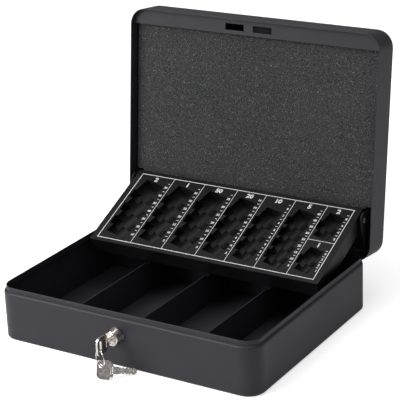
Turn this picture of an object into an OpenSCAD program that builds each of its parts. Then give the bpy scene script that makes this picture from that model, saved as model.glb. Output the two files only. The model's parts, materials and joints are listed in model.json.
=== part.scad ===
/* [Box] */
// Outside width of the box
box_w = 300; // [290:1:340]
// Outside depth of the box
box_d = 240; // [230:1:280]
// Height of the base up to its shoulder
base_h = 52; // [50:0.5:70]
// Height of the lid, from its rim to its top
lid_h = 35; // [34:0.5:50]
// Radius of the upright corners
corner_r = 18; // [12:0.5:24]
// Thickness of the steel sheet
sheet_t = 1; // [0.8:0.1:1.2]
// Outside radius of the bends at the floor and the shoulder
bend_r = 2.5; // [2.2:0.1:3]
// Outside radius of the lid's top edge
lid_edge_r = 4; // [3:0.5:6]
// Height of the inner lip above the shoulder
lip_h = 5; // [4:0.5:6]

/* [Lid hinges] */
// How far the lid opens from closed
open_angle = 96.3; // [92:0.1:98]
// Length of each hinge
hinge_len = 44; // [30:1:60]
// Distance between the middles of the two hinges
hinge_spread = 170; // [140:1:200]
// Drop of the hinge axis below the shoulder
hinge_drop = 3.6; // [3.4:0.1:4]
// Distance of the hinge axis inside the back face
hinge_inset = 2.5; // [2.3:0.1:2.7]
// Radius of a hinge pin
hinge_pin_r = 1.1; // [0.9:0.05:1.2]
// Outside radius of a hinge knuckle
knuckle_r = 2.1; // [2:0.05:2.2]
// Height of a hinge leaf
leaf_h = 20; // [14:1:26]

/* [Compartments] */
// Height of the dividers above the floor
divider_h = 35; // [20:1:36]
// Thickness of a divider
divider_t = 0.8; // [0.6:0.1:1.2]
// Distance from one divider to the next
divider_pitch = 74.5; // [60:0.5:76]
// Distance of the cross plate from the box's middle, towards the back
cross_plate_y = 86; // [84:0.5:96]
// Depth of the shallow notch in each divider's top edge
divider_notch = 3; // [1:0.5:5]

/* [Lock] */
// Distance of the lock's axis to the right of the box's middle
lock_x = -5; // [-5:0.5:0]
// Height of the lock's axis above the table
lock_z = 33.5; // [32:0.5:34]
// Radius of the lock's head at the wall
lock_head_r = 9.5; // [8.5:0.5:11]
// How far the lock's head stands out
lock_head_len = 10; // [8:0.5:14]
// Radius of the lock's threaded barrel
lock_barrel_r = 7.5; // [7:0.1:8]
// Radius of the lock's plug
plug_r = 5.5; // [5.2:0.1:5.8]
// Distance of the hook's middle plane behind the front face
hook_depth = 9.75; // [9.5:0.25:11]
// Middle radius of the hook's arc
hook_r = 30; // [29:0.5:31]
// Width of the hook's arc
hook_w = 6; // [4:0.5:7]
// Thickness of the hook
hook_t = 2.5; // [2:0.1:3]
// Width of the lid strip that the hook catches
strip_w = 17.5; // [15:0.5:24]
// Half of the bridge between the strip's two slots
slot_bridge = 5.5; // [3:0.5:6]
// Length of each slot in the strip
slot_len = 22.5; // [22:0.5:26]
// Width of each slot in the strip
slot_w = 7; // [5:0.5:8]

/* [Keys] */
// Length of a key's bow
bow_len = 17; // [15:0.5:20]
// Width of a key's bow
bow_w = 19; // [18:0.5:24]
// Thickness of a key's bow
bow_t = 2.2; // [1.8:0.1:2.6]
// Length of the neck between bow and lock
neck_len = 6; // [5:0.5:10]
// Length of a key's blade
blade_len = 17; // [12:0.5:17]
// Width of a key's blade
blade_w = 6.6; // [6:0.1:8]
// Thickness of a key's blade
blade_t = 1.9; // [1.5:0.1:2]
// Outside radius of the key ring
ring_r = 8.5; // [7:0.5:10]
// Radius of the ring's wire
ring_wire_r = 0.6; // [0.5:0.05:0.8]

/* [Coin tray] */
// Room between each side of the coin tray and the side wall of the box
tray_side_room = 10.5; // [9:0.25:11.5]
// Height of the coin tray
tray_h = 18; // [16:0.5:20]
// Length of the printed field, front to back
field_len = 102.5; // [100:0.5:106]
// Margin in front of and behind the printed field
field_margin = 5; // [3:0.5:6]
// Tilt of the tray when the lid is open
tray_tilt = 23.5; // [20:0.5:25]
// Height of the tray's pivot along the open lid, from the hinge axis
pivot_reach = 43.3; // [41:0.1:46]
// Depth of the tray's pivot behind the hinge axis, in the open lid
pivot_depth = 3.8; // [3:0.1:4.6]
// Distance of the pivot from the tray's back edge
pivot_from_back = 8.6; // [7:0.1:10]
// Drop of the pivot below the tray's top
pivot_drop = 8.5; // [8:0.1:9.5]
// Radius of the pivot pins
tray_pin_r = 1.6; // [1.4:0.1:2]
// Turn of each coin pocket in plan
pocket_skew = 14; // [8:1:18]
// Slope of each coin pocket's bottom
pocket_slope = 5; // [2:1:6]
// Length of a finger notch
notch_len = 12.5; // [9:0.5:14]
// How far a finger notch reaches beside its pocket
notch_reach = 4.3; // [3:0.1:5]

/* [Foam pad] */
// Recess of the foam's face from the lid's rim
foam_recess = 10.4; // [10.2:0.1:14]
// Distance from the hinge axis to the foam's back edge, along the lid
foam_start = 51.5; // [51:0.5:60]

/* [Handle] */
// Distance between the handle's two ears
handle_span = 110; // [90:1:130]
// Reach of the handle from its pivots
handle_reach = 34; // [28:1:40]
// Radius of the handle's rod
handle_r = 3; // [2.5:0.1:3.5]

/* [Hidden] */

$fn = 64;
eps = 0.01;

// Clearances
run_gap = 0.05;        // radial gap of a pin in its bore
touch_gap = 0.3;       // gap between pieces that only come close
knuckle_gap = 0.3;     // gap between knuckles along the pin
through = 10;          // length of a cutter that passes right through a sheet

// Colours
black_paint = [0.13, 0.13, 0.14];
black_plastic = [0.10, 0.10, 0.11];
plated = [0.75, 0.75, 0.74];
foam_grey = [0.36, 0.36, 0.35];

// Places in the box
front_y = -box_d / 2;
back_y = box_d / 2;
lip_out = bend_r;                      // the lip's outer face, inside the wall's outer face
lip_top = base_h + lip_h;
hinge_y = back_y - hinge_inset;
hinge_z = base_h - hinge_drop;
lid_top = base_h + lid_h;
wall_in = box_w / 2 - sheet_t;         // the side walls' inner face
tray_w = 2 * (wall_in - tray_side_room);

// The two ends of the hook's arc while unlocked, from +X towards +Z, and the room that it needs
hook_tail = -50;
hook_tip = 35;
hook_room_y = 8;
hook_room_z = 1;
lock_room_y = front_y + hook_depth + hook_room_y;
lock_room_z = lock_z - (hook_r + hook_w / 2) * sin(-hook_tail) - hook_room_z;

// Pocket layout of the coin tray: coin diameters, each column's share of the printed field's width,
// pockets per column, and how far the pockets stop before the field's back end
coin_d = [25.75, 23.25, 24.25, 22.25, 19.75, 21.25, 18.75, 16.25];
column_share = [42.3, 39, 41.3, 35.5, 35.4, 37.7, 30.8];
pockets = [4, 4, 4, 4, 4, 5];
column_end = [10.5, 10.5, 10.5, 11.5, 18.5, 13.5];
column_start = 7;
split_from = 56;                       // where the upper half of the last column starts
split_to = 41;                         // where its lower half ends
trough_shift = -0.8;                   // troughs sit a little left of the column's middle
coin_gap = 0.4;

function sum_to(list, n) = n <= 0 ? 0 : list[n - 1] + sum_to(list, n - 1);
side_margin = 7.5;                     // between the printed field and the tray's sides
field_w = tray_w - 2 * side_margin;
function column_mid(i) =
  field_w * ((sum_to(column_share, i) + column_share[i] / 2) / sum_to(column_share, 7) - 1 / 2)
  + trough_shift;

// ---------------------------------------------------------------- shared shapes

// Sweeps a profile, drawn from the corner's axis outwards, round the whole box.
module around_box(w, d, r) {
  for (q = [0:3])
    rotate([0, 0, 90 * q])
      translate([(q % 2 == 0 ? w : d) / 2 - r, (q % 2 == 0 ? d : w) / 2 - r, 0])
        rotate_extrude(angle = 90)
          children();
  for (s = [-1, 1]) {
    rotate([90, 0, s > 0 ? 90 : -90])
      translate([d / 2 - r, 0, -(w / 2 - r)])
        linear_extrude(w - 2 * r)
          children();
    rotate([90, 0, s > 0 ? 0 : 180])
      translate([w / 2 - r, 0, -(d / 2 - r)])
        linear_extrude(d - 2 * r)
          children();
  }
}

// A quarter ring, opening downwards for the shoulder and upwards for the floor.
module bend(r, t, up) {
  intersection() {
    difference() {
      circle(r);
      circle(r - t);
    }
    translate([0, up ? 0 : -r])
      square(r);
  }
}

module rounded_plate(w, d, r, h) {
  linear_extrude(h) {
    square([w - 2 * r, d], center = true);
    square([w, d - 2 * r], center = true);
    for (x = [-1, 1], y = [-1, 1])
      translate([x * (w / 2 - r), y * (d / 2 - r)])
        circle(r);
  }
}

// Puts what is drawn with the lid closed into the open lid.
module in_open_lid() {
  translate([0, hinge_y, hinge_z])
    rotate([-open_angle, 0, 0])
      translate([0, -hinge_y, -hinge_z])
        children();
}

module along_x(x0, x1, y, z) {
  translate([x0, y, z])
    rotate([0, 90, 0])
      linear_extrude(x1 - x0)
        children();
}

module rod_x(x0, x1, y, z, r) {
  translate([x0, y, z])
    rotate([0, 90, 0])
      cylinder(h = x1 - x0, r = r);
}

// A cylinder along +Y from y0 to y1.
module rod_y(y0, y1, x, z, r) {
  translate([x, y1, z])
    rotate([90, 0, 0])
      cylinder(h = y1 - y0, r = r);
}

module box(x0, x1, y0, y1, z0, z1) {
  translate([x0, y0, z0])
    cube([x1 - x0, y1 - y0, z1 - z0]);
}

// ---------------------------------------------------------------- base

module base_profile() {
  square([corner_r - bend_r, sheet_t]);
  translate([corner_r - bend_r, bend_r])
    bend(bend_r, sheet_t, false);
  translate([corner_r - sheet_t, bend_r])
    square([sheet_t, base_h - 2 * bend_r]);
  translate([corner_r - bend_r, base_h - bend_r])
    bend(bend_r, sheet_t, true);
  translate([corner_r - lip_out - sheet_t, base_h - sheet_t])
    square([sheet_t, lip_h + sheet_t / 2]);
  translate([corner_r - lip_out - sheet_t / 2, lip_top - sheet_t / 2])
    circle(sheet_t / 2);
}

window_low = hinge_z - hinge_inset + touch_gap - sheet_t / 2 + 0.1;

module base_shell() {
  color(black_paint)
    difference() {
      union() {
        around_box(box_w, box_d, corner_r)
          base_profile();
        linear_extrude(sheet_t)
          square([box_w - 2 * corner_r, box_d - 2 * corner_r], center = true);
      }
      rod_y(front_y - 1, front_y + sheet_t + 1, lock_x, lock_z, lock_barrel_r + run_gap);
      for (s = [-1, 1])
        box(s * hinge_spread / 2 - hinge_len / 2 - touch_gap,
            s * hinge_spread / 2 + hinge_len / 2 + touch_gap,
            hinge_y + 0.1, back_y + 1,
            window_low, base_h + touch_gap);
    }
}

// ---------------------------------------------------------------- dividers

divider_top = sheet_t + divider_h;
divider_front = front_y + sheet_t + touch_gap;
notch_mid = 43;                             // the shallow notches lie here, front to back
notch_half = 3;

module divider(x, y1) {
  color(black_paint)
    difference() {
      box(x - divider_t / 2, x + divider_t / 2, divider_front, y1, sheet_t, divider_top);
      box(x - divider_t, x + divider_t, notch_mid - notch_half, notch_mid + notch_half,
          divider_top - divider_notch, divider_top + 1);
      if (x == 0)
        box(x - divider_t, x + divider_t, divider_front - 1, lock_room_y,
            lock_room_z, divider_top + 1);
    }
}

module divider_left() divider(-divider_pitch, cross_plate_y);
module divider_centre() divider(0, cross_plate_y);
module divider_right() divider(divider_pitch, cross_plate_y);

module cross_plate() {
  color(black_paint)
    box(-wall_in + touch_gap, wall_in - touch_gap, cross_plate_y, cross_plate_y + divider_t,
        sheet_t, divider_top);
}

// ---------------------------------------------------------------- lock

hook_front = front_y + hook_depth - hook_t / 2;
hook_back = front_y + hook_depth + hook_t / 2;
barrel_end = hook_front - 0.5;
head_y = front_y - lock_head_len;
head_taper = 2;                // how much smaller the head's face is than its root
head_edge = 0.8;               // chamfer round the face
nut_t = 4;
nut_r = 12.5;
plug_tail_r = 3.6;
plug_back = hook_front - 0.2;
screw_r = 1.5;
screw_len = 2.2;
screw_head_r = 4.2;
screw_head_t = 2;
screw_slot = 0.5;              // half width of the driver's slot
keyway_gap = 0.15;

module lock_body() {
  color(plated)
    difference() {
      union() {
        translate([lock_x, front_y, lock_z])
          rotate([90, 0, 0])
            rotate_extrude()
              polygon([[0, 0], [lock_head_r, 0], [lock_head_r, 1],
                       [lock_head_r - head_taper, lock_head_len - head_edge],
                       [lock_head_r - head_taper - head_edge, lock_head_len],
                       [0, lock_head_len]]);
        rod_y(front_y - eps, barrel_end, lock_x, lock_z, lock_barrel_r);
      }
      rod_y(head_y - 1, barrel_end + 1, lock_x, lock_z, plug_r + run_gap);
    }
}

module lock_nut() {
  color(plated)
    difference() {
      translate([lock_x, front_y + sheet_t + nut_t, lock_z])
        rotate([90, 0, 0])
          cylinder(h = nut_t, r = nut_r, $fn = 6);
      rod_y(front_y, front_y + sheet_t + nut_t + 1, lock_x, lock_z, lock_barrel_r + run_gap);
    }
}

module lock_plug() {
  color(plated)
    difference() {
      union() {
        rod_y(head_y + 0.4, plug_back, lock_x, lock_z, plug_r);
        rod_y(plug_back - eps, hook_back, lock_x, lock_z, plug_tail_r);
      }
      box(lock_x - blade_t / 2 - keyway_gap, lock_x + blade_t / 2 + keyway_gap, head_y - 1,
          head_y + blade_len + 2 * keyway_gap,
          lock_z - blade_w / 2 - keyway_gap, lock_z + blade_w / 2 + keyway_gap);
      rod_y(hook_back - screw_len - touch_gap, hook_back + 1, lock_x, lock_z, screw_r + run_gap);
    }
}

spoke_w = 8;
hub_r = 8;

// A crescent on a hub, which turns up through the strip's slots.
module lock_hook() {
  color(plated)
    difference() {
      translate([lock_x, hook_back, lock_z])
        rotate([90, 0, 0])
          linear_extrude(hook_t) {
            difference() {
              circle(hook_r + hook_w / 2);
              circle(hook_r - hook_w / 2);
              polygon(concat([[0, 0]],
                [for (i = [0 : 20])
                  let (a = hook_tip + i * (360 + hook_tail - hook_tip) / 20)
                    2 * hook_r * [cos(a), sin(a)]]));
            }
            circle(hub_r);
            rotate(hook_tail + 8)
              translate([0, -spoke_w / 2])
                square([hook_r, spoke_w]);
          }
      rod_y(hook_front - 1, hook_back + 1, lock_x, lock_z, plug_tail_r + run_gap);
    }
}

module hook_screw() {
  color(plated)
    difference() {
      union() {
        rod_y(hook_back - screw_len, hook_back + eps, lock_x, lock_z, screw_r);
        rod_y(hook_back, hook_back + screw_head_t, lock_x, lock_z, screw_head_r);
      }
      box(lock_x - 2 * screw_head_r, lock_x + 2 * screw_head_r, hook_back + screw_head_t / 2,
          hook_back + screw_head_t + 1, lock_z - screw_slot, lock_z + screw_slot);
    }
}

// ---------------------------------------------------------------- keys

bow_corner = 5;
eye_w = 4.2;                   // the long eye near the bow's end
eye_len = 12;
eye_from_end = 2.2;
eye_x = eye_from_end + eye_w / 2;
panel_deep = 0.4;              // recess in the bow's two faces
panel_margin = 2;
root_len = 1;                  // overlap of the blade into the bow
tip_w = 3;
neck_extra = 0.8;              // how much wider than the blade the neck is
tip_len = 3;
groove_w = 1.8;
bit_count = 4;
bit_pitch = 3.2;
bit_deep = 0.9;

// A key along +X from its bow's end to its tip, flat in the XY plane.
module key_shape() {
  key_end = bow_len + neck_len + blade_len;
  panel_x = eye_from_end + eye_w + panel_margin;
  color(plated)
    difference() {
      union() {
        translate([bow_len / 2, 0, -bow_t / 2])
          rounded_plate(bow_len, bow_w, bow_corner, bow_t);
        translate([bow_len - root_len, -(blade_w + neck_extra) / 2, -bow_t / 2])
          cube([neck_len, blade_w + neck_extra, bow_t]);
        translate([0, 0, -blade_t / 2])
          linear_extrude(blade_t)
            polygon([[bow_len - root_len, -blade_w / 2], [key_end - tip_len, -blade_w / 2],
                     [key_end, -tip_w / 2], [key_end, tip_w / 2],
                     [key_end - tip_len, blade_w / 2], [bow_len - root_len, blade_w / 2]]);
      }
      translate([eye_x, 0, -bow_t])
        linear_extrude(2 * bow_t) {
          square([eye_w, eye_len - eye_w], center = true);
          for (s = [-1, 1])
            translate([0, s * (eye_len - eye_w) / 2])
              circle(eye_w / 2);
        }
      for (s = [-1, 1]) {
        translate([panel_x, -bow_w / 4, s * bow_t / 2 - panel_deep])
          cube([bow_len - panel_x - panel_margin, bow_w / 2, 2 * panel_deep]);
        translate([bow_len - root_len, -groove_w / 2, s * bow_t / 2 - panel_deep])
          cube([neck_len + blade_len - tip_len, groove_w, 2 * panel_deep]);
        for (i = [0 : bit_count - 1])
          translate([bow_len + neck_len + bit_pitch * (i + 0.6), s * blade_w / 2, -bow_t])
            linear_extrude(2 * bow_t)
              polygon([[-bit_pitch / 2, s * eps], [bit_pitch / 2, s * eps],
                       [0, -s * bit_deep * (1 + (i % 2) * 0.5)]]);
      }
    }
}

key_end_y = head_y - neck_len - bow_len;      // the far end of the bow of the key in the lock

module key_in_lock() {
  translate([lock_x, key_end_y, lock_z])
    rotate([90, 0, 90])
      key_shape();
}

// The ring hangs in the lower end of that key's eye, and the spare key hangs on the ring.
wire_play = 0.9;
spare_play = 1.8;              // the spare key hangs askew, so its eye needs more room
ring_turn = -25;
ring_bend_r = ring_r - ring_wire_r;
ring_y = key_end_y + eye_x;
ring_top_z = lock_z - eye_len / 2 + ring_wire_r + wire_play;
ring_low_z = ring_top_z - 2 * ring_bend_r;

module key_ring() {
  color(plated)
    translate([lock_x, ring_y, ring_top_z - ring_bend_r])
      rotate([90, 0, ring_turn])
        rotate_extrude()
          translate([ring_bend_r, 0])
            circle(ring_wire_r);
}

spare_yaw = 45;
spare_pitch = 12;
spare_lean = 55;

module spare_key() {
  translate([lock_x, ring_y, ring_low_z])
    rotate([0, 0, spare_yaw])
      rotate([0, spare_pitch, 0])
        rotate([spare_lean, 0, 0])
          translate([-eye_x, -eye_len / 2 + ring_wire_r + spare_play, 0])
            key_shape();
}

// ---------------------------------------------------------------- hinges

// Three knuckles to a hinge: the base's two outside, the lid's one between them.
outer_knuckle = hinge_len * 0.28;
leaf_t = sheet_t;
leaf_out = sheet_t;            // the leaves lie against the walls' inner faces

module knuckle(x0, x1) {
  difference() {
    rod_x(x0, x1, hinge_y, hinge_z, knuckle_r);
    rod_x(x0 - 1, x1 + 1, hinge_y, hinge_z, hinge_pin_r + run_gap);
  }
}

leaf_y0 = back_y - leaf_out - leaf_t;
leaf_y1 = back_y - leaf_out;

module base_leaf(mid) {
  a = mid - hinge_len / 2;
  b = mid + hinge_len / 2;
  color(plated)
    difference() {
      union() {
        for (k = [[a, a + outer_knuckle], [b - outer_knuckle, b]]) {
          rod_x(k[0], k[1], hinge_y, hinge_z, knuckle_r);
          box(k[0], k[1], leaf_y0, leaf_y1, window_low - 1, hinge_z);
        }
        box(a, b, leaf_y0, leaf_y1, hinge_z - leaf_h, hinge_z - knuckle_r - touch_gap);
      }
      rod_x(a - 1, b + 1, hinge_y, hinge_z, hinge_pin_r + run_gap);
    }
}

module lid_leaf(mid) {
  a = mid - hinge_len / 2 + outer_knuckle + knuckle_gap;
  b = mid + hinge_len / 2 - outer_knuckle - knuckle_gap;
  color(plated)
    in_open_lid()
      difference() {
        union() {
          rod_x(a, b, hinge_y, hinge_z, knuckle_r);
          box(a, b, leaf_y0, leaf_y1, hinge_z, base_h + 1);
          box(mid - hinge_len / 2, mid + hinge_len / 2, leaf_y0, leaf_y1,
              hinge_z + knuckle_r + touch_gap, hinge_z + leaf_h);
        }
        rod_x(a - 1, b + 1, hinge_y, hinge_z, hinge_pin_r + run_gap);
      }
}

module hinge_pin(mid) {
  color(plated)
    rod_x(mid - hinge_len / 2, mid + hinge_len / 2, hinge_y, hinge_z, hinge_pin_r);
}

module hinge_base_leaf_left() base_leaf(-hinge_spread / 2);
module hinge_base_leaf_right() base_leaf(hinge_spread / 2);
module hinge_lid_leaf_left() lid_leaf(-hinge_spread / 2);
module hinge_lid_leaf_right() lid_leaf(hinge_spread / 2);
module hinge_pin_left() hinge_pin(-hinge_spread / 2);
module hinge_pin_right() hinge_pin(hinge_spread / 2);

// ---------------------------------------------------------------- lid

module lid_profile() {
  translate([corner_r - sheet_t, 0])
    square([sheet_t, lid_h - lid_edge_r]);
  translate([corner_r - lid_edge_r, lid_h - lid_edge_r])
    bend(lid_edge_r, sheet_t, true);
  translate([0, lid_h - sheet_t])
    square([corner_r - lid_edge_r, sheet_t]);
}

module lid_shell() {
  color(black_paint)
    in_open_lid()
      difference() {
        translate([0, 0, base_h])
          union() {
            around_box(box_w, box_d, corner_r)
              lid_profile();
            translate([0, 0, lid_h - sheet_t])
              linear_extrude(sheet_t)
                square([box_w - 2 * corner_r, box_d - 2 * corner_r], center = true);
          }
        handle_rivet_places()
          cylinder(h = through, r = rivet_r + run_gap, center = true);
      }
}

strip_z = lip_top + touch_gap;
strip_back = front_y + strip_w;

module latch_strip() {
  color(black_paint)
    in_open_lid()
      difference() {
        translate([0, 0, strip_z])
          intersection() {
            rounded_plate(box_w - 2 * sheet_t, box_d - 2 * sheet_t, corner_r - sheet_t, sheet_t);
            box(-box_w, box_w, front_y - 1, strip_back, -1, sheet_t + 1);
          }
        for (s = [-1, 1])
          box(lock_x + (s > 0 ? slot_bridge : -slot_bridge - slot_len),
              lock_x + (s > 0 ? slot_bridge + slot_len : -slot_bridge),
              front_y + hook_depth - slot_w / 2, front_y + hook_depth + slot_w / 2,
              strip_z - 1, strip_z + sheet_t + 1);
      }
}

// ---------------------------------------------------------------- tray brackets

arm_t = 1.2;
arm_gap = 2.5;                               // between the tray's side and the bracket's arm
arm_x = tray_w / 2 + arm_gap;
pivot_closed_y = hinge_y - pivot_reach;
pivot_closed_z = hinge_z + pivot_depth;
arm_margin = 8;                              // metal from the pivot to the arm's edge
arm_past = 9;                                // metal from the pivot to the arm's far end
arm_cut = 4;                                 // the arm's cut corner
arm_knee = 6;                                // the arm's edge turns here, towards the hinge
arm_foot_y = 8;                              // distance of the arm's foot from the hinge axis
arm_foot_z = 11;
web_room = 5;                                // between the web and the lid's top
flange_h = 14;
flange_room = 0.5;                           // the flange stops before the lid's round corner
arm_top_y = pivot_closed_y - arm_past;
arm_low_y = hinge_y - arm_foot_y;
web_z = lid_top - sheet_t - web_room;
flange_low_y = back_y - corner_r - flange_room;

module tray_bracket(s) {
  color(black_paint)
    in_open_lid()
      mirror([s < 0 ? 1 : 0, 0, 0])
        difference() {
          union() {
            along_x(arm_x, arm_x + arm_t, 0, 0)
              polygon([for (p = [[arm_top_y, web_z], [arm_top_y, pivot_closed_z - arm_margin / 2],
                                 [arm_top_y + arm_cut, pivot_closed_z - arm_margin],
                                 [pivot_closed_y + arm_knee, pivot_closed_z - arm_margin],
                                 [arm_low_y, hinge_z + arm_foot_z], [arm_low_y, web_z]])
                         [-p[1], p[0]]]);
            box(arm_x, wall_in, arm_top_y, flange_low_y, web_z - arm_t, web_z);
            box(wall_in - arm_t, wall_in, arm_top_y, flange_low_y, web_z - flange_h, web_z);
          }
          rod_x(arm_x - 1, arm_x + arm_t + 1, pivot_closed_y, pivot_closed_z, tray_pin_r + run_gap);
        }
}

module tray_bracket_left() tray_bracket(-1);
module tray_bracket_right() tray_bracket(1);

pin_depth = 6;                               // how far a pin enters the tray's side
pin_head_r = 3;
pin_head_t = 1.2;

module tray_pin(s) {
  color(plated)
    in_open_lid()
      mirror([s < 0 ? 1 : 0, 0, 0]) {
        rod_x(tray_w / 2 - pin_depth, arm_x + arm_t + eps, pivot_closed_y, pivot_closed_z,
              tray_pin_r);
        rod_x(arm_x + arm_t, arm_x + arm_t + pin_head_t, pivot_closed_y, pivot_closed_z,
              pin_head_r);
      }
}

module tray_pin_left() tray_pin(-1);
module tray_pin_right() tray_pin(1);

// ---------------------------------------------------------------- coin tray

tray_back = field_len + field_margin;
tray_front = -field_margin;
tray_corner = 2;
pivot_t = tray_back - pivot_from_back;       // the pivot's place along the tray
skirt_t = 2.5;
slab_floor = 1.6;                            // plastic under the deepest pockets
slab_h = coin_d[0] / 2 + coin_gap + slab_floor;
notch_sink = 0.7;                            // a finger notch's depth in pocket radii
boss_r = 4;

// The tray lies flat with its top at z = 0 and its printed field from y = 0 to field_len.
module place_tray() {
  translate([0, hinge_y, hinge_z])
    rotate([-open_angle, 0, 0])
      translate([0, -pivot_reach, pivot_depth])
        rotate([open_angle + tray_tilt, 0, 0])
          translate([0, -pivot_t, pivot_drop])
            children();
}

module pocket(x, t, r, len) {
  translate([x, t, 0])
    rotate([0, 0, -pocket_skew])
      rotate([-90 - pocket_slope, 0, 0])
        translate([0, 0, -len / 2])
          cylinder(h = len, r = r);
}

module trough(i, mid, t0, t1, n) {
  r = coin_d[i] / 2 + coin_gap;
  step = (t1 - t0) / n;
  for (k = [0 : n - 1])
    pocket(mid, t0 + (k + 0.5) * step, r, step * cos(pocket_skew) + 0.2);
  if (n > 1)
    for (k = [1 : n - 1])
      box(mid - r - notch_reach, mid - r / 2, t0 + k * step - notch_len / 2,
          t0 + k * step + notch_len / 2, -r * notch_sink, 1);
}

module coin_tray() {
  color(black_plastic)
    place_tray()
      difference() {
        union() {
          translate([0, (tray_front + tray_back) / 2, -tray_h])
            rounded_plate(tray_w, tray_back - tray_front, tray_corner, tray_h);
          for (s = [-1, 1])
            rod_x(s > 0 ? tray_w / 2 - 1 : -arm_x + touch_gap,
                  s > 0 ? arm_x - touch_gap : -tray_w / 2 + 1, pivot_t, -pivot_drop, boss_r);
        }
        for (i = [0:5])
          trough(i, column_mid(i), column_start, field_len - column_end[i], pockets[i]);
        trough(6, column_mid(6), split_from, field_len - column_end[0], 2);
        trough(7, column_mid(6), column_start, split_to, 2);
        box(-tray_w / 2 + skirt_t, tray_w / 2 - skirt_t, tray_front + skirt_t,
            tray_back - skirt_t, -tray_h - 1, -slab_h);
        rod_x(-arm_x, -tray_w / 2 + pin_depth + 1, pivot_t, -pivot_drop, tray_pin_r + run_gap);
        rod_x(tray_w / 2 - pin_depth - 1, arm_x, pivot_t, -pivot_drop, tray_pin_r + run_gap);
      }
}

// ---------------------------------------------------------------- foam pad

foam_z0 = base_h + foam_recess;
foam_z1 = lid_top - sheet_t;
foam_gap = 1.2;
foam_w = box_w - 2 * sheet_t - 2 * foam_gap;
foam_d = box_d - 2 * sheet_t - 2 * foam_gap;
foam_back = hinge_y - foam_start;
foam_r = corner_r - sheet_t - foam_gap;
foam_step = lid_edge_r - sheet_t;            // the pad steps in where the lid's edge is round
bracket_room = 2;
hook_side = 2;
hook_room = hook_r + hook_w / 2 + hook_side; // half width of the pad's recess for the lock's hook

module foam_pad() {
  color(foam_grey)
    in_open_lid()
      difference() {
        intersection() {
          union() {
            translate([0, 0, foam_z0])
              rounded_plate(foam_w, foam_d, foam_r, foam_z1 - foam_step - foam_z0);
            translate([0, 0, foam_z0])
              rounded_plate(foam_w - 2 * foam_step, foam_d - 2 * foam_step, foam_r - foam_step,
                            foam_z1 - foam_z0);
          }
          box(-box_w, box_w, front_y, foam_back, foam_z0 - 1, foam_z1 + 1);
        }
        handle_rivet_places()
          cylinder(h = 2 * (sheet_t + rivet_tail_t + touch_gap), r = rivet_tail_r + touch_gap,
                   center = true);
        box(lock_x - hook_room, lock_x + hook_room, front_y, strip_back, base_h, lid_top);
        for (s = [-1, 1])
          box(s > 0 ? arm_x - bracket_room : -box_w, s > 0 ? box_w : -arm_x + bracket_room,
              arm_top_y - bracket_room, back_y, base_h, lid_top);
      }
}

// ---------------------------------------------------------------- handle

ear_w = 8;
ear_base = 20;
ear_plate_w = 24;
ear_t = 1.6;
ear_corner = 3;
ear_shift = 6;                 // the ear's plate reaches in from the handle's pivot
ear_rise = 5.2;                // height of the handle's pivot above the lid
handle_y = -handle_reach / 2;
handle_bend = 9;
rivet_r = 2;
rivet_tail_r = 3;
rivet_tail_t = 0.8;
rivet_head_r = 3.4;
rivet_head_t = 1.1;
rivet_in = 6;                  // from the ear's knuckle to its rivets
rivet_half = 6;                // half of the distance between an ear's two rivets

module handle_rivet_places() {
  for (s = [-1, 1], y = [-1, 1])
    translate([s * (handle_span / 2 - ear_w / 2 - rivet_in), handle_y + y * rivet_half, lid_top])
      children();
}

module handle_ear(s) {
  color(plated)
    in_open_lid()
      difference() {
        union() {
          translate([s * (handle_span / 2 - ear_shift), handle_y, lid_top])
            rounded_plate(ear_plate_w, ear_base, ear_corner, ear_t);
          rod_x(s * handle_span / 2 - ear_w / 2, s * handle_span / 2 + ear_w / 2,
                handle_y, lid_top + ear_rise, ear_rise);
        }
        rod_x(s * handle_span / 2 - ear_w, s * handle_span / 2 + ear_w,
              handle_y, lid_top + ear_rise, handle_r + run_gap);
        handle_rivet_places()
          cylinder(h = through, r = rivet_r + run_gap, center = true);
      }
}

module handle_ear_left() handle_ear(-1);
module handle_ear_right() handle_ear(1);

module handle_rivets() {
  color(plated)
    in_open_lid()
      handle_rivet_places() {
        translate([0, 0, -sheet_t - rivet_tail_t])
          cylinder(h = rivet_tail_t, r = rivet_tail_r);
        translate([0, 0, -sheet_t])
          cylinder(h = sheet_t + ear_t, r = rivet_r);
        translate([0, 0, ear_t])
          cylinder(h = rivet_head_t, r = rivet_head_r);
      }
}

handle_hang = open_angle - 90;
bail_side = 1;                 // how far the rod runs straight past each side of an ear

// A straight leg, two quarter bends and a grip, drawn from the pivots towards +Y.
module handle_bail() {
  pivot_end = handle_span / 2 - ear_w / 2 - bail_side;
  leg_x = handle_span / 2 + ear_w / 2 + handle_bend + bail_side;
  bend_x = leg_x - handle_bend;
  color(plated)
    in_open_lid()
      translate([0, handle_y, lid_top + ear_rise])
        rotate([handle_hang, 0, 0]) {
          rod_x(-bend_x, bend_x, handle_reach, 0, handle_r);
          for (s = [0, 1])
            rotate([0, s * 180, 0]) {
              rod_x(pivot_end, bend_x, 0, 0, handle_r);
              translate([bend_x, handle_bend, 0])
                rotate([0, 0, -90])
                  rotate_extrude(angle = 90)
                    translate([handle_bend, 0])
                      circle(handle_r);
              rod_y(handle_bend, handle_reach - handle_bend, leg_x, 0, handle_r);
              translate([bend_x, handle_reach - handle_bend, 0])
                rotate_extrude(angle = 90)
                  translate([handle_bend, 0])
                    circle(handle_r);
            }
        }
}

// ---------------------------------------------------------------- output

base_shell();
divider_left();
divider_centre();
divider_right();
cross_plate();
lock_body();
lock_nut();
lock_plug();
lock_hook();
hook_screw();
key_in_lock();
key_ring();
spare_key();
hinge_base_leaf_left();
hinge_base_leaf_right();
hinge_lid_leaf_left();
hinge_lid_leaf_right();
hinge_pin_left();
hinge_pin_right();
lid_shell();
latch_strip();
foam_pad();
tray_bracket_left();
tray_bracket_right();
tray_pin_left();
tray_pin_right();
coin_tray();
handle_ear_left();
handle_ear_right();
handle_rivets();
handle_bail();
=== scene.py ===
import json
from math import pi, radians

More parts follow.
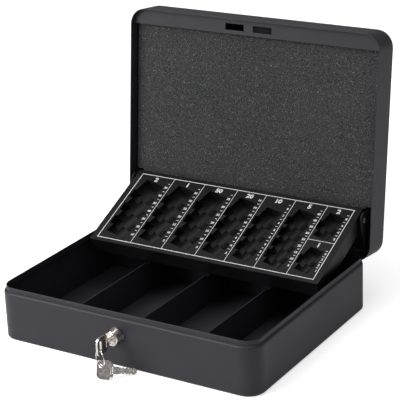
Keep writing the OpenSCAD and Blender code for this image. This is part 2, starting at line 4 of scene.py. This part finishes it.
import bmesh
import bpy
from mathutils import Matrix, Vector, noise


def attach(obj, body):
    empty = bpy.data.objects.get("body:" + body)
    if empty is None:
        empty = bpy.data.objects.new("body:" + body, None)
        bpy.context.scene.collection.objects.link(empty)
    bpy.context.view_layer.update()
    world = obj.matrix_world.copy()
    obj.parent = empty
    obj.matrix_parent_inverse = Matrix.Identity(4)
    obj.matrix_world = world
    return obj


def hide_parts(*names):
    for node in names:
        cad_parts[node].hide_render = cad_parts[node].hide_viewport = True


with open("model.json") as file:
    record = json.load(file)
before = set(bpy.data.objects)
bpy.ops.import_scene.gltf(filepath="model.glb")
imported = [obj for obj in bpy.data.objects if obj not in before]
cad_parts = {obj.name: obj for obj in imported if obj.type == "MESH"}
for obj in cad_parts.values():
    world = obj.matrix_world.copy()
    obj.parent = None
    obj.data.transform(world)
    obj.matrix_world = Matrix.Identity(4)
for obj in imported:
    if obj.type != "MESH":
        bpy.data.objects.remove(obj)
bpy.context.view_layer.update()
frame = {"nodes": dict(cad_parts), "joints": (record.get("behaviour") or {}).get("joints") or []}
mm = 0.001

# ---------------------------------------------------------------------------------------------
# Camera. It stands to the right of the box and a little above it, and is turned slightly
# about its own axis, as a hand-held camera is.

camera_aim = Vector((21.5, 0, 138)) * mm
camera_distance = 1568 * mm
camera_round = radians(32.2)
camera_above = radians(20.7)
camera_roll = radians(-2.33)
camera_turn = (Matrix.Rotation(camera_round, 4, "Z")
               @ Matrix.Rotation(pi / 2 - camera_above, 4, "X")
               @ Matrix.Rotation(camera_roll, 4, "Z"))
camera_data = bpy.data.cameras.new("camera")
camera_data.sensor_width = 36
camera_data.lens = 141.3
camera_data.shift_x = 0.0004
camera_data.shift_y = -0.0020
camera = bpy.data.objects.new("camera", camera_data)
camera.matrix_world = (Matrix.Translation(camera_aim) @ camera_turn
                       @ Matrix.Translation((0, 0, camera_distance)))
bpy.context.collection.objects.link(camera)
bpy.context.scene.camera = camera
bpy.context.scene.view_settings.view_transform = "Standard"


# ---------------------------------------------------------------------------------------------
# Floor. A wide white table top. It takes the box's soft shadow, and glows a little: more to
# the camera, so that it shows as white, and less to what mirrors it.

class Signal:
    """The output of a shader node. Maths on it adds the nodes that the maths needs."""

    def __init__(self, tree, socket):
        self.tree = tree
        self.socket = socket

    def node(self, kind, settings=None, inputs=None, output=0):
        """Adds a node of any kind: its settings come first, then its inputs' values or links."""
        made = self.tree.nodes.new(kind)
        for name, value in (settings or {}).items():
            setattr(made, name, value)
        for name, value in (inputs or {}).items():
            if isinstance(value, Signal):
                self.tree.links.new(value.socket, made.inputs[name])
            else:
                made.inputs[name].default_value = value
        return Signal(self.tree, made.outputs[output])

    def maths(self, operation, *values):
        return self.node("ShaderNodeMath", {"operation": operation}, dict(enumerate(values)))

    def __add__(self, other):
        return self.maths("ADD", self, other)

    def __sub__(self, other):
        return self.maths("SUBTRACT", self, other)

    def __mul__(self, other):
        return self.maths("MULTIPLY", self, other)

    def ramp(self, low, high, start=0.0, end=1.0):
        """Goes from start to end while the signal goes from low to high."""
        return self.node("ShaderNodeMapRange", {"clamp": True},
                         {"Value": self, "From Min": low, "From Max": high,
                          "To Min": start, "To Max": end})

    def blend(self, dark, light):
        """A colour between dark, where the signal is 0, and light, where it is 1."""
        return self.node("ShaderNodeMix", {"data_type": "RGBA"},
                         {"Factor": self, "A": dark, "B": light}, output="Result")

    def noise(self, size, detail=3.0, roughness=0.5):
        """Soft noise on this place, whose blotches are about size across."""
        return self.node("ShaderNodeTexNoise", {},
                         {"Vector": self, "Scale": 1 / size, "Detail": detail,
                          "Roughness": roughness})


def new_material(name):
    """A material with only its output, and the place on the piece as a signal."""
    material = bpy.data.materials.new(name)
    material.use_nodes = True
    tree = material.node_tree
    tree.nodes.clear()
    tree.nodes.new("ShaderNodeOutputMaterial")
    coordinates = tree.nodes.new("ShaderNodeTexCoord")
    return material, Signal(tree, coordinates.outputs["Object"])


def show(signal):
    """Links a shader to the material's output."""
    output = next(n for n in signal.tree.nodes if n.type == "OUTPUT_MATERIAL")
    signal.tree.links.new(signal.socket, output.inputs["Surface"])


def surface(place, inputs):
    """Finishes a material with one Principled shader."""
    show(place.node("ShaderNodeBsdfPrincipled", {}, inputs, output="BSDF"))


def grey(level, warmth=0.0):
    """A near-neutral colour, warmer above 0 and cooler below."""
    return (level * (1 + warmth / 2), level * (1 - abs(warmth) / 4), level * (1 - warmth), 1)


def mesh_piece(name, shape, material, body=None):
    """Makes an object of a finished bmesh, which is freed, and lets it ride on its body."""
    mesh = bpy.data.meshes.new(name)
    shape.to_mesh(mesh)
    shape.free()
    piece = bpy.data.objects.new(name, mesh)
    bpy.context.collection.objects.link(piece)
    mesh.materials.append(material)
    if body:
        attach(piece, body)
    return piece


floor_material, place = new_material("white_table")
rays = place.node("ShaderNodeLightPath", {}, {})
mirrored = Signal(rays.tree, rays.socket.node.outputs["Is Glossy Ray"])
paper = place.node("ShaderNodeBsdfDiffuse", {}, {"Color": grey(0.8)})
glow_seen = 0.62
glow_mirrored = 0.25
glow = place.node("ShaderNodeEmission", {}, {
    "Color": grey(1.0), "Strength": rays * glow_seen + mirrored * glow_mirrored})
show(place.node("ShaderNodeAddShader", {}, {0: paper, 1: glow}))

table_reach = 6
table_below = 0.2 * mm
table_top = bmesh.new()
bmesh.ops.create_grid(table_top, x_segments=1, y_segments=1, size=table_reach)
bmesh.ops.translate(table_top, verts=table_top.verts, vec=(0, 0, -table_below))
floor = mesh_piece("floor", table_top, floor_material)


# ---------------------------------------------------------------------------------------------
# Light. A large soft light in front on the left, a faint one on the right, a wide one overhead,
# and a pale room that the camera sees as white.

def soft_light(name, place_at, aim, size, power):
    data = bpy.data.lights.new(name, "AREA")
    data.shape = "SQUARE"
    data.size = size
    data.energy = power
    lamp = bpy.data.objects.new(name, data)
    lamp.location = place_at
    lamp.rotation_euler = (Vector(aim) - Vector(place_at)).to_track_quat("-Z", "Y").to_euler()
    bpy.context.collection.objects.link(lamp)


box_middle = (0, 0, 0.1)
soft_light("light_left", (-0.95, -1.1, 1.0), box_middle, size=1.1, power=34)
soft_light("light_right", (2.2, -0.9, 1.2), box_middle, size=1.4, power=1)
soft_light("light_top", (-0.3, -0.2, 2.4), box_middle, size=2.0, power=30)

world = bpy.data.worlds.new("pale_room")
bpy.context.scene.world = world
world.use_nodes = True
world.node_tree.nodes.clear()
sky_out = world.node_tree.nodes.new("ShaderNodeOutputWorld")
sky_rays = world.node_tree.nodes.new("ShaderNodeLightPath")
sky_seen = Signal(world.node_tree, sky_rays.outputs["Is Camera Ray"])
room_level = 0.26
sky = sky_seen.node("ShaderNodeBackground", {}, {
    "Color": grey(1.0), "Strength": sky_seen * (1 - room_level) + room_level})
world.node_tree.links.new(sky.socket, sky_out.inputs["Surface"])


# ---------------------------------------------------------------------------------------------
# Painted sheet steel: the base, its dividers, the lid and the strip that the lock catches, in a
# black powder coat with a fine orange peel and faint handling marks. The tray's brackets are
# coloured much darker, which is painted shade for the lid's shadow that they stand in.

powder_coat, place = new_material("black_powder_coat")
peel = place.noise(0.9 * mm, detail=2)
grain = place.noise(0.22 * mm, detail=1)
handling = place.noise(45 * mm, detail=4, roughness=0.6)
soft_edge = place.node("ShaderNodeBevel", {"samples": 4}, {"Radius": 0.35 * mm}, output="Normal")
coat_skin = place.node("ShaderNodeBump", {}, {
    "Strength": 0.35, "Distance": 0.05 * mm, "Height": peel * 0.7 + grain * 0.3,
    "Normal": soft_edge}, output="Normal")
coat_dark = (0.0235, 0.0233, 0.0280, 1)
coat_light = (0.0290, 0.0288, 0.0345, 1)
surface(place, {
    "Base Color": handling.ramp(0.3, 0.7).blend(coat_dark, coat_light),
    "Roughness": handling.ramp(0.3, 0.7, 0.40, 0.50) + grain * 0.05,
    "Specular IOR Level": 0.22,
    "Normal": coat_skin})


def finish(material, *nodes):
    """Gives CAD pieces their material."""
    for node in nodes:
        piece = frame["nodes"][node]
        piece.data.materials.clear()
        piece.data.materials.append(material)


finish(powder_coat, "base_shell", "divider_left", "divider_centre", "divider_right",
       "cross_plate", "lid_shell", "latch_strip")

# Far darker than the powder coat: painted shade for the lid's shadow on the brackets. The noise is
# dust.
bracket_coat_painted_shade, place = new_material("black_bracket_coat_with_painted_shade")
dust = place.noise(8 * mm, detail=4)
surface(place, {
    "Base Color": dust.ramp(0.3, 0.7).blend(grey(0.006, -0.1), grey(0.010, -0.1)),
    "Roughness": dust.ramp(0.3, 0.7, 0.55, 0.65),
    "Specular IOR Level": 0.25,
    "Normal": place.node("ShaderNodeBump", {}, {
        "Strength": 0.3, "Distance": 0.05 * mm, "Height": place.noise(0.9 * mm, detail=2)},
        output="Normal")})

finish(bracket_coat_painted_shade, "tray_bracket_left", "tray_bracket_right")


# ---------------------------------------------------------------------------------------------
# Zinc-plated small parts: hinges and their pins, the lock's nut, hook and screw, the tray's
# pins, and the handle with its ears and rivets. Plain grey, with a soft haze and faint crystals.

zinc_plate, place = new_material("zinc_plate")
crystals = place.node("ShaderNodeTexVoronoi", {}, {"Vector": place, "Scale": 1 / (1.6 * mm)},
                      output="Distance")
haze = place.noise(6 * mm, detail=4)
zinc_skin = place.node("ShaderNodeBump", {}, {
    "Strength": 0.15, "Distance": 0.04 * mm, "Height": crystals,
    "Normal": place.node("ShaderNodeBevel", {"samples": 4}, {"Radius": 0.25 * mm},
                         output="Normal")}, output="Normal")
surface(place, {
    "Base Color": haze.ramp(0.3, 0.7).blend(grey(0.50), grey(0.66)),
    "Metallic": 1.0,
    "Roughness": haze.ramp(0.3, 0.7, 0.28, 0.42),
    "Normal": zinc_skin})

finish(zinc_plate, "hinge_base_leaf_left", "hinge_base_leaf_right", "hinge_lid_leaf_left",
       "hinge_lid_leaf_right", "hinge_pin_left", "hinge_pin_right", "lock_nut", "lock_hook",
       "hook_screw", "tray_pin_left", "tray_pin_right", "handle_ear_left", "handle_ear_right",
       "handle_rivets", "handle_bail")


# ---------------------------------------------------------------------------------------------
# Nickel-plated parts: the lock's body and plug, the key in it and the key ring. Bright and
# slightly warm, with rubbed patches and fine scratches.

nickel_plate, place = new_material("nickel_plate")
rubbing = place.noise(3 * mm, detail=5, roughness=0.65)
streaks = place.node("ShaderNodeMapping", {}, {"Vector": place, "Scale": (1, 1, 9)},
                     output="Vector")
scratches = streaks.noise(0.5 * mm, detail=3)
nickel_skin = place.node("ShaderNodeBump", {}, {
    "Strength": 0.5, "Distance": 0.12 * mm, "Height": rubbing * 0.8 + scratches * 0.06,
    "Normal": place.node("ShaderNodeBevel", {"samples": 4}, {"Radius": 0.3 * mm},
                         output="Normal")}, output="Normal")
surface(place, {
    "Base Color": rubbing.ramp(0.3, 0.7).blend(grey(0.30, 0.14), grey(0.84, 0.05)),
    "Metallic": 1.0,
    "Roughness": rubbing.ramp(0.3, 0.7, 0.12, 0.26),
    "Normal": nickel_skin})

finish(nickel_plate, "lock_body", "lock_plug", "key_in_lock", "key_ring")


# ---------------------------------------------------------------------------------------------
# Spare key. A stamped, nickel-plated key on the ring: a rounded bow with a rim round its sunk
# faces and a hole for the ring, and a grooved blade with bits cut into both edges. Its sizes are
# in millimetres, along X from the bow's end.

bow_len = 17
bow_w = 19
bow_t = 2.2
bow_corner = 5.5
rim_w = 1.5
rim_bevel = 0.55
panel_sunk = 0.5
hole_r = 1.9
hole_place = Vector((4.3, 3.6, 0))
pocket_low = Vector((9.4, -4.2, 0))
pocket_high = Vector((14.2, 2.6, 0))
pocket_sunk = 0.4
neck_start = 16
neck_end = 22
neck_w = 7.4
key_end = 40
blade_w = 6.6
blade_t = 1.9
blade_tip_w = 3
tip_len = 3
groove_start = 19
groove_w = 1.8
groove_deep = 0.45
bit_count = 4
bit_first = 25
bit_pitch = 3.2
bit_half = 1.5
bit_cutter_r = bit_half * 1.4
bit_deep = (0.9, 1.4)
bit_share = 0.6
cutter_len = 9


def joint(name):
    """The frame's own entry for one joint."""
    return next(entry for entry in frame["joints"] if entry["name"] == name)


def joint_place(name):
    return Vector(joint(name)["pos_m"])


# It hangs by its hole on the ring's lowest point, turned, pitched and leaning.
spare_yaw = radians(45)
spare_pitch = radians(12)
spare_lean = radians(55)
spare_place = (Matrix.Translation(joint_place("spare_swing"))
               @ Matrix.Rotation(spare_yaw, 4, "Z") @ Matrix.Rotation(spare_pitch, 4, "Y")
               @ Matrix.Rotation(spare_lean, 4, "X") @ Matrix.Scale(mm, 4)
               @ Matrix.Translation(-hole_place))


def block(low, high):
    """A closed box between two corners."""
    form = bmesh.new()
    size = [abs(b - a) for a, b in zip(low, high)]
    bmesh.ops.create_cube(form, size=1, matrix=(
        Matrix.Translation((Vector(high) + Vector(low)) / 2) @ Matrix.Diagonal((*size, 1))))
    return form


def combined(shape, other, operation):
    """The first bmesh after a Boolean with the second. Both are used up."""
    pair = []
    for form in (shape, other):
        mesh = bpy.data.meshes.new("form")
        form.to_mesh(mesh)
        form.free()
        pair.append(bpy.data.objects.new("form", mesh))
        bpy.context.collection.objects.link(pair[-1])
    cut = pair[0].modifiers.new("cut", "BOOLEAN")
    cut.object = pair[1]
    cut.operation = operation
    cut.solver = "EXACT"
    result = bmesh.new()
    result.from_mesh(pair[0].evaluated_get(bpy.context.evaluated_depsgraph_get()).to_mesh())
    for form in pair:
        bpy.data.objects.remove(form)
    return result


spare = block((0, -bow_w / 2, -bow_t / 2), (bow_len, bow_w / 2, bow_t / 2))
upright = [e for e in spare.edges if abs(e.verts[0].co.z - e.verts[1].co.z) > bow_t / 2]
bmesh.ops.bevel(spare, geom=upright, offset=bow_corner, segments=8, profile=0.5, affect="EDGES",
                material=-1)
for face in [f for f in spare.faces if abs(f.normal.z) > 0.9]:
    rim = list(face.edges)
    bmesh.ops.inset_region(spare, faces=[face], thickness=rim_w)
    bmesh.ops.translate(spare, verts=face.verts, vec=face.normal * -panel_sunk)
    bmesh.ops.bevel(spare, geom=rim, offset=rim_bevel, segments=3, profile=0.5, affect="EDGES",
                    material=-1)
spare = combined(spare, block((neck_start, -neck_w / 2, -bow_t / 2),
                              (neck_end, neck_w / 2, bow_t / 2)), "UNION")
blade = block((bow_len, -blade_w / 2, -blade_t / 2), (key_end, blade_w / 2, blade_t / 2))
bmesh.ops.bisect_plane(blade, geom=blade.verts[:] + blade.edges[:] + blade.faces[:],
                       plane_co=(key_end - tip_len, 0, 0), plane_no=(1, 0, 0))
for corner in blade.verts:
    if corner.co.x > key_end - tip_len / 2:
        corner.co.y *= blade_tip_w / blade_w
spare = combined(spare, blade, "UNION")
hole = bmesh.new()
bmesh.ops.create_cone(hole, cap_ends=True, segments=32, radius1=hole_r, radius2=hole_r,
                      depth=cutter_len, matrix=Matrix.Translation(hole_place))
spare = combined(spare, hole, "DIFFERENCE")
for side in (-1, 1):
    face_z = side * bow_t / 2
    spare = combined(spare, block(
        pocket_low + Vector((0, 0, face_z - side * (panel_sunk + pocket_sunk))),
        pocket_high + Vector((0, 0, 2 * face_z))), "DIFFERENCE")
    spare = combined(spare, block(
        (groove_start, -groove_w / 2, side * (blade_t / 2 - groove_deep)),
        (key_end - tip_len, groove_w / 2, 2 * face_z)), "DIFFERENCE")
    for bit in range(bit_count):
        x = bit_first + bit * bit_pitch
        y = side * (blade_w / 2 + bit_half - bit_deep[bit % 2] * bit_share)
        notch = bmesh.new()
        bmesh.ops.create_cone(notch, cap_ends=True, segments=4, radius1=bit_cutter_r,
                              radius2=bit_cutter_r, depth=cutter_len,
                              matrix=Matrix.Translation((x, y, 0)))
        spare = combined(spare, notch, "DIFFERENCE")
bmesh.ops.transform(spare, matrix=spare_place, verts=spare.verts)
bmesh.ops.recalc_face_normals(spare, faces=spare.faces)
spare_piece = mesh_piece("spare_key_cut", spare, nickel_plate, body="spare")
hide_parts("spare_key")


# ---------------------------------------------------------------------------------------------
# Foam pad in the lid. A flat sheet of dark grey recycled foam, cut to the lid's round corners,
# with a gap for the lock's hook and a step beside the tray's brackets. Its surface is full of
# small pale and dark crumbs.

foam_material, place = new_material("crumb_foam")
crumbs = place.noise(1.3 * mm, detail=3, roughness=0.7)
pores = place.node("ShaderNodeTexVoronoi", {}, {"Vector": place, "Scale": 1 / (2.2 * mm)},
                   output="Distance")
shade = place.noise(60 * mm, detail=2)
foam_skin = place.node("ShaderNodeBump", {}, {
    "Strength": 0.8, "Distance": 0.7 * mm, "Height": crumbs * 0.8 + pores * 0.4},
    output="Normal")
flecks = place.noise(0.9 * mm, detail=1).ramp(0.64, 0.71)
ground_dark = grey(0.012, -0.03)
ground_light = grey(0.054, -0.03)
ground = (crumbs.ramp(0.34, 0.68) + shade * 0.3 - 0.15).blend(ground_dark, ground_light)
surface(place, {
    "Base Color": flecks.node("ShaderNodeMix", {"data_type": "RGBA"}, {
        "Factor": flecks * 0.6, "A": ground, "B": grey(0.26)}, output="Result"),
    "Roughness": 0.95,
    "Specular IOR Level": 0.2,
    "Normal": foam_skin})

# The pad's sizes in the closed lid, in millimetres from the hinge axis.
pad_half_w = 147.8
pad_far = -235.3
pad_near = -51.5
pad_corner = 15.8
pad_face = 14.0
pad_back = 37.5
step_half_w = 139
step_far = -54.3
recess_left = -40
recess_right = 30
recess_near = -220
face_edge_r = 2.2
back_edge_r = 3.2
cell = 9
swell = 0.35
swell_wide = 23
swell_fine = 9
face_room = 0.01

open_angle = radians(joint("lid_hinge")["range_deg"][1])
lid_place = (Matrix.Translation(joint_place("lid_hinge")) @ Matrix.Rotation(-open_angle, 4, "X")
             @ Matrix.Scale(mm, 4))

pad = bmesh.new()
outline = [(-pad_half_w, pad_far), (recess_left, pad_far), (recess_left, recess_near),
           (recess_right, recess_near), (recess_right, pad_far), (pad_half_w, pad_far),
           (pad_half_w, step_far), (step_half_w, step_far), (step_half_w, pad_near),
           (-step_half_w, pad_near), (-step_half_w, step_far), (-pad_half_w, step_far)]
corners = [pad.verts.new((x, y, pad_face)) for x, y in outline]
pad.faces.new(corners)
bmesh.ops.bevel(pad, geom=[corners[0], corners[5]], offset=pad_corner, segments=8, profile=0.5,
                affect="VERTICES", material=-1)
raised = bmesh.ops.extrude_face_region(pad, geom=list(pad.faces))
bmesh.ops.translate(pad, verts=[v for v in raised["geom"] if isinstance(v, bmesh.types.BMVert)],
                    vec=(0, 0, pad_back - pad_face))


def rim_at(shape, height):
    """The edges that lie wholly at one height."""
    return [edge for edge in shape.edges
            if all(abs(v.co.z - height) < 0.001 for v in edge.verts)]


bmesh.ops.bevel(pad, geom=rim_at(pad, pad_face), offset=face_edge_r, segments=4, profile=0.5,
                affect="EDGES", material=-1)
bmesh.ops.bevel(pad, geom=rim_at(pad, pad_back), offset=back_edge_r, segments=2, profile=0.5,
                affect="EDGES", material=-1)
for axis, start, end in ((0, -pad_half_w, pad_half_w), (1, pad_far, pad_near)):
    for step in range(1, int((end - start) / cell)):
        cut = Vector((0, 0, 0))
        cut[axis] = start + step * cell
        across = Vector((axis == 0, axis == 1, 0))
        bmesh.ops.bisect_plane(pad, geom=list(pad.verts) + list(pad.edges) + list(pad.faces),
                               plane_co=cut, plane_no=across)
for v in pad.verts:
    if v.co.z < pad_face + face_room:
        wide = swell * noise.noise(v.co / swell_wide)
        v.co.z += wide + swell / 2 * noise.noise(v.co / swell_fine)
bmesh.ops.recalc_face_normals(pad, faces=pad.faces)
bmesh.ops.transform(pad, matrix=lid_place, verts=pad.verts)
foam_sheet = mesh_piece("foam_sheet", pad, foam_material, body="lid")
for face in foam_sheet.data.polygons:
    face.use_smooth = True
foam_sheet.data.set_sharp_from_angle(angle=radians(50))
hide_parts("foam_pad")


# ---------------------------------------------------------------------------------------------
# Coin tray. One injection moulding of black plastic with eight slanted troughs for coins. Its mould
# was spark eroded, which leaves a fine dull texture.

tray_plastic, place = new_material("black_moulding")
spark = place.noise(0.35 * mm, detail=2)
cloud = place.noise(30 * mm, detail=3)
tray_skin = place.node("ShaderNodeBump", {}, {
    "Strength": 0.25, "Distance": 0.05 * mm, "Height": spark,
    "Normal": place.node("ShaderNodeBevel", {"samples": 4}, {"Radius": 0.3 * mm},
                         output="Normal")}, output="Normal")
plastic_dark = (0.0036, 0.0037, 0.0044, 1)
plastic_light = (0.0056, 0.0057, 0.0066, 1)
surface(place, {
    "Base Color": cloud.ramp(0.3, 0.7).blend(plastic_dark, plastic_light),
    "Roughness": cloud.ramp(0.3, 0.7, 0.36, 0.46),
    "Specular IOR Level": 0.20,
    "Normal": tray_skin})

finish(tray_plastic, "coin_tray")


# ---------------------------------------------------------------------------------------------
# Print on the tray. White ink: a frame, a line between each two columns, the coins' plain
# values at the top, and beside each column a scale of ticks and numbers to count a stack by.

tray_tilt = radians(23.5)
pivot_from_front = 98.9
pivot_drop = 8.5
field_len = 102.5
column_w = (42.3, 39, 41.3, 35.5, 35.4, 37.7, 30.8)
column_value = ("2", "1", "50", "20", "10", "5", "2")
column_marks = (14, 14, 14, 15, 16, 18, 8)
scale_step = (10, 5, 5, 2, 1, 5, 2)
frame_line_w = 0.8
column_line_w = 0.55
ink_t = 0.06
ink_sunk = 0.02
value_h = 6.6
value_t = 97.0
number_h = 3.2
tick_len = 2.4
tick_w = 0.7
heavy = 0.05
mark_from_line = 2.0
scale_low = 12
scale_high = 93.5
split_line_t = 52
low_value_t = 46.4
low_scale_high = 40
high_scale_low = 58

tray_place = (Matrix.Translation(joint_place("tray_pivot")) @ Matrix.Rotation(tray_tilt, 4, "X")
              @ Matrix.Scale(mm, 4) @ Matrix.Translation((0, -pivot_from_front, pivot_drop)))

ink, place = new_material("white_ink")
wear = place.noise(0.8 * mm, detail=3)
surface(place, {
    "Base Color": wear.ramp(0.3, 0.7).blend(grey(0.50), grey(0.66)),
    "Roughness": wear.ramp(0.3, 0.7, 0.45, 0.60)})

print_shape = bmesh.new()


def bar(x0, x1, t0, t1):
    """A bar of ink on the tray's top, between two places across it and two along it."""
    size = Matrix.Diagonal((x1 - x0, t1 - t0, ink_t + ink_sunk, 1))
    middle = Matrix.Translation(((x0 + x1) / 2, (t0 + t1) / 2, (ink_t - ink_sunk) / 2))
    bmesh.ops.create_cube(print_shape, size=1, matrix=middle @ size)


def number(text, x, t, height, weight, share=0.5):
    """A number whose middle is at t, and whose width has the given share to the left of x."""
    letters = bpy.data.curves.new("letters", "FONT")
    letters.body = text
    letters.size = height
    letters.offset = weight * height
    letters.resolution_u = 3
    shown = bpy.data.objects.new("letters", letters)
    bpy.context.collection.objects.link(shown)
    flat = bmesh.new()
    flat.from_mesh(shown.to_mesh())
    bpy.data.objects.remove(shown)
    bmesh.ops.remove_doubles(flat, verts=flat.verts, dist=0.001)
    low_x = min(v.co.x for v in flat.verts)
    high_x = max(v.co.x for v in flat.verts)
    low_y = min(v.co.y for v in flat.verts)
    high_y = max(v.co.y for v in flat.verts)
    scale = height / (high_y - low_y)
    top = bmesh.ops.extrude_face_region(flat, geom=list(flat.faces))
    bmesh.ops.translate(flat, vec=(0, 0, (ink_t + ink_sunk) / scale),
                        verts=[v for v in top["geom"] if isinstance(v, bmesh.types.BMVert)])
    bmesh.ops.recalc_face_normals(flat, faces=flat.faces)
    bmesh.ops.transform(flat, verts=flat.verts, matrix=(
        Matrix.Translation((x, t - height / 2, -ink_sunk)) @ Matrix.Scale(scale, 4)
        @ Matrix.Translation((-low_x - (high_x - low_x) * share, -low_y, 0))))
    part = bpy.data.meshes.new("letters")
    flat.to_mesh(part)
    flat.free()
    print_shape.from_mesh(part)


def scale_marks(line_x, low, high, count, step):
    """Ticks and numbers by turns up the land on the left of a line."""
    for mark in range(count):
        t = low + (high - low) * mark / (count - 1)
        if mark % 2:
            bar(line_x - mark_from_line - tick_len, line_x - mark_from_line,
                t - tick_w / 2, t + tick_w / 2)
        else:
            number(str(step * (mark // 2 + 1)), line_x - mark_from_line, t, number_h, heavy, 1.0)


half_field = sum(column_w) / 2
for edge in (-half_field, half_field):
    bar(edge - frame_line_w / 2, edge + frame_line_w / 2, -frame_line_w / 2,
        field_len + frame_line_w / 2)
for t in (0, field_len):
    bar(-half_field + frame_line_w / 2, half_field - frame_line_w / 2, t - frame_line_w / 2,
        t + frame_line_w / 2)
left = -half_field
for width, value, count, step in zip(column_w, column_value, column_marks, scale_step):
    right = left + width
    last = right > half_field - 1
    number(value, (left + right) / 2, value_t, value_h, heavy)
    if last:
        bar(left + column_line_w / 2, right - frame_line_w / 2, split_line_t - column_line_w / 2,
            split_line_t + column_line_w / 2)
        number("1", (left + right) / 2, low_value_t, value_h, heavy)
        scale_marks(right, scale_low, low_scale_high, count, 1)
    else:
        bar(right - column_line_w / 2, right + column_line_w / 2, frame_line_w / 2,
            field_len - frame_line_w / 2)
    scale_marks(right, high_scale_low if last else scale_low, scale_high, count, step)
    left = right

bmesh.ops.transform(print_shape, matrix=tray_place, verts=print_shape.verts)
mesh_piece("tray_print", print_shape, ink, body="tray")
